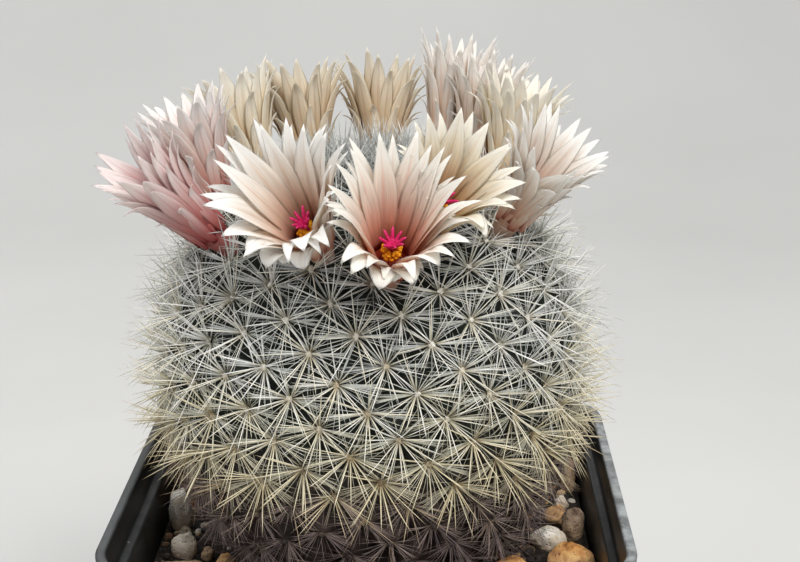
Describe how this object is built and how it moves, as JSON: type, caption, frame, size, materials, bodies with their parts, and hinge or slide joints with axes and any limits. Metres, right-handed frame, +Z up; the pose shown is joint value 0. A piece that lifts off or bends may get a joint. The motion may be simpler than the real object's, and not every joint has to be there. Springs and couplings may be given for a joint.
{
  "type": "potted round cactus",
  "caption": "Round white-spined cactus with a crown of funnel-shaped pink and cream flowers, in gritty soil in a square black plastic pot.",
  "frame": {"origin": "middle of the pot's flat underside, on the surface that the pot stands on", "axes": "+Z up along the plant's axis, the pictured front faces -Y, +X to the right seen from the front"},
  "size_m": [0.09, 0.0954, 0.1575],
  "materials": {
    "pot_plastic": "satin",
    "soil": "matte",
    "cactus_skin": "matte",
    "petal_front": "satin",
    "petal_cream": "satin",
    "petal_pink": "satin",
    "anther": "matte",
    "stigma": "satin",
    "white_stone": "matte",
    "tan_stone": "matte",
    "orange_stone": "matte",
    "brown_stone": "matte"
  },
  "bodies": {
    "root": {"pot": "pot_plastic", "soil": "soil", "cactus_body": "cactus_skin", "stone_01": "tan_stone", "stone_02": "white_stone", "stone_03": "white_stone", "stone_04": "tan_stone", "stone_05": "orange_stone", "stone_06": "tan_stone", "stone_07": "brown_stone", "stone_08": "white_stone", "stone_09": "orange_stone", "stone_10": "orange_stone", "stone_11": "tan_stone", "stone_12": "brown_stone", "stone_13": "tan_stone", "stone_14": "orange_stone", "stone_15": "white_stone", "stone_16": "brown_stone", "stone_17": "orange_stone", "stone_18": "tan_stone", "flower_01": "petal_front", "flower_01_stamens": "anther", "flower_01_stigma": "stigma", "flower_02": "petal_cream", "flower_02_stamens": "anther", "flower_02_stigma": "stigma", "flower_03": "petal_front", "flower_03_stamens": "anther", "flower_03_stigma": "stigma", "flower_04": "petal_cream", "flower_04_stamens": "anther", "flower_04_stigma": "stigma", "flower_05": "petal_cream", "flower_05_stamens": "anther", "flower_05_stigma": "stigma", "flower_06": "petal_cream", "flower_06_stamens": "anther", "flower_06_stigma": "stigma", "flower_07": "petal_cream", "flower_07_stamens": "anther", "flower_07_stigma": "stigma", "flower_08": "petal_cream", "flower_08_stamens": "anther", "flower_08_stigma": "stigma", "flower_09": "petal_cream", "flower_09_stamens": "anther", "flower_09_stigma": "stigma", "flower_10": "petal_pink", "flower_10_stamens": "anther", "flower_10_stigma": "stigma", "flower_11": "petal_pink", "flower_11_stamens": "anther", "flower_11_stigma": "stigma", "flower_12": "petal_front", "flower_12_stamens": "anther", "flower_12_stigma": "stigma"}
  },
  "joints": []
}
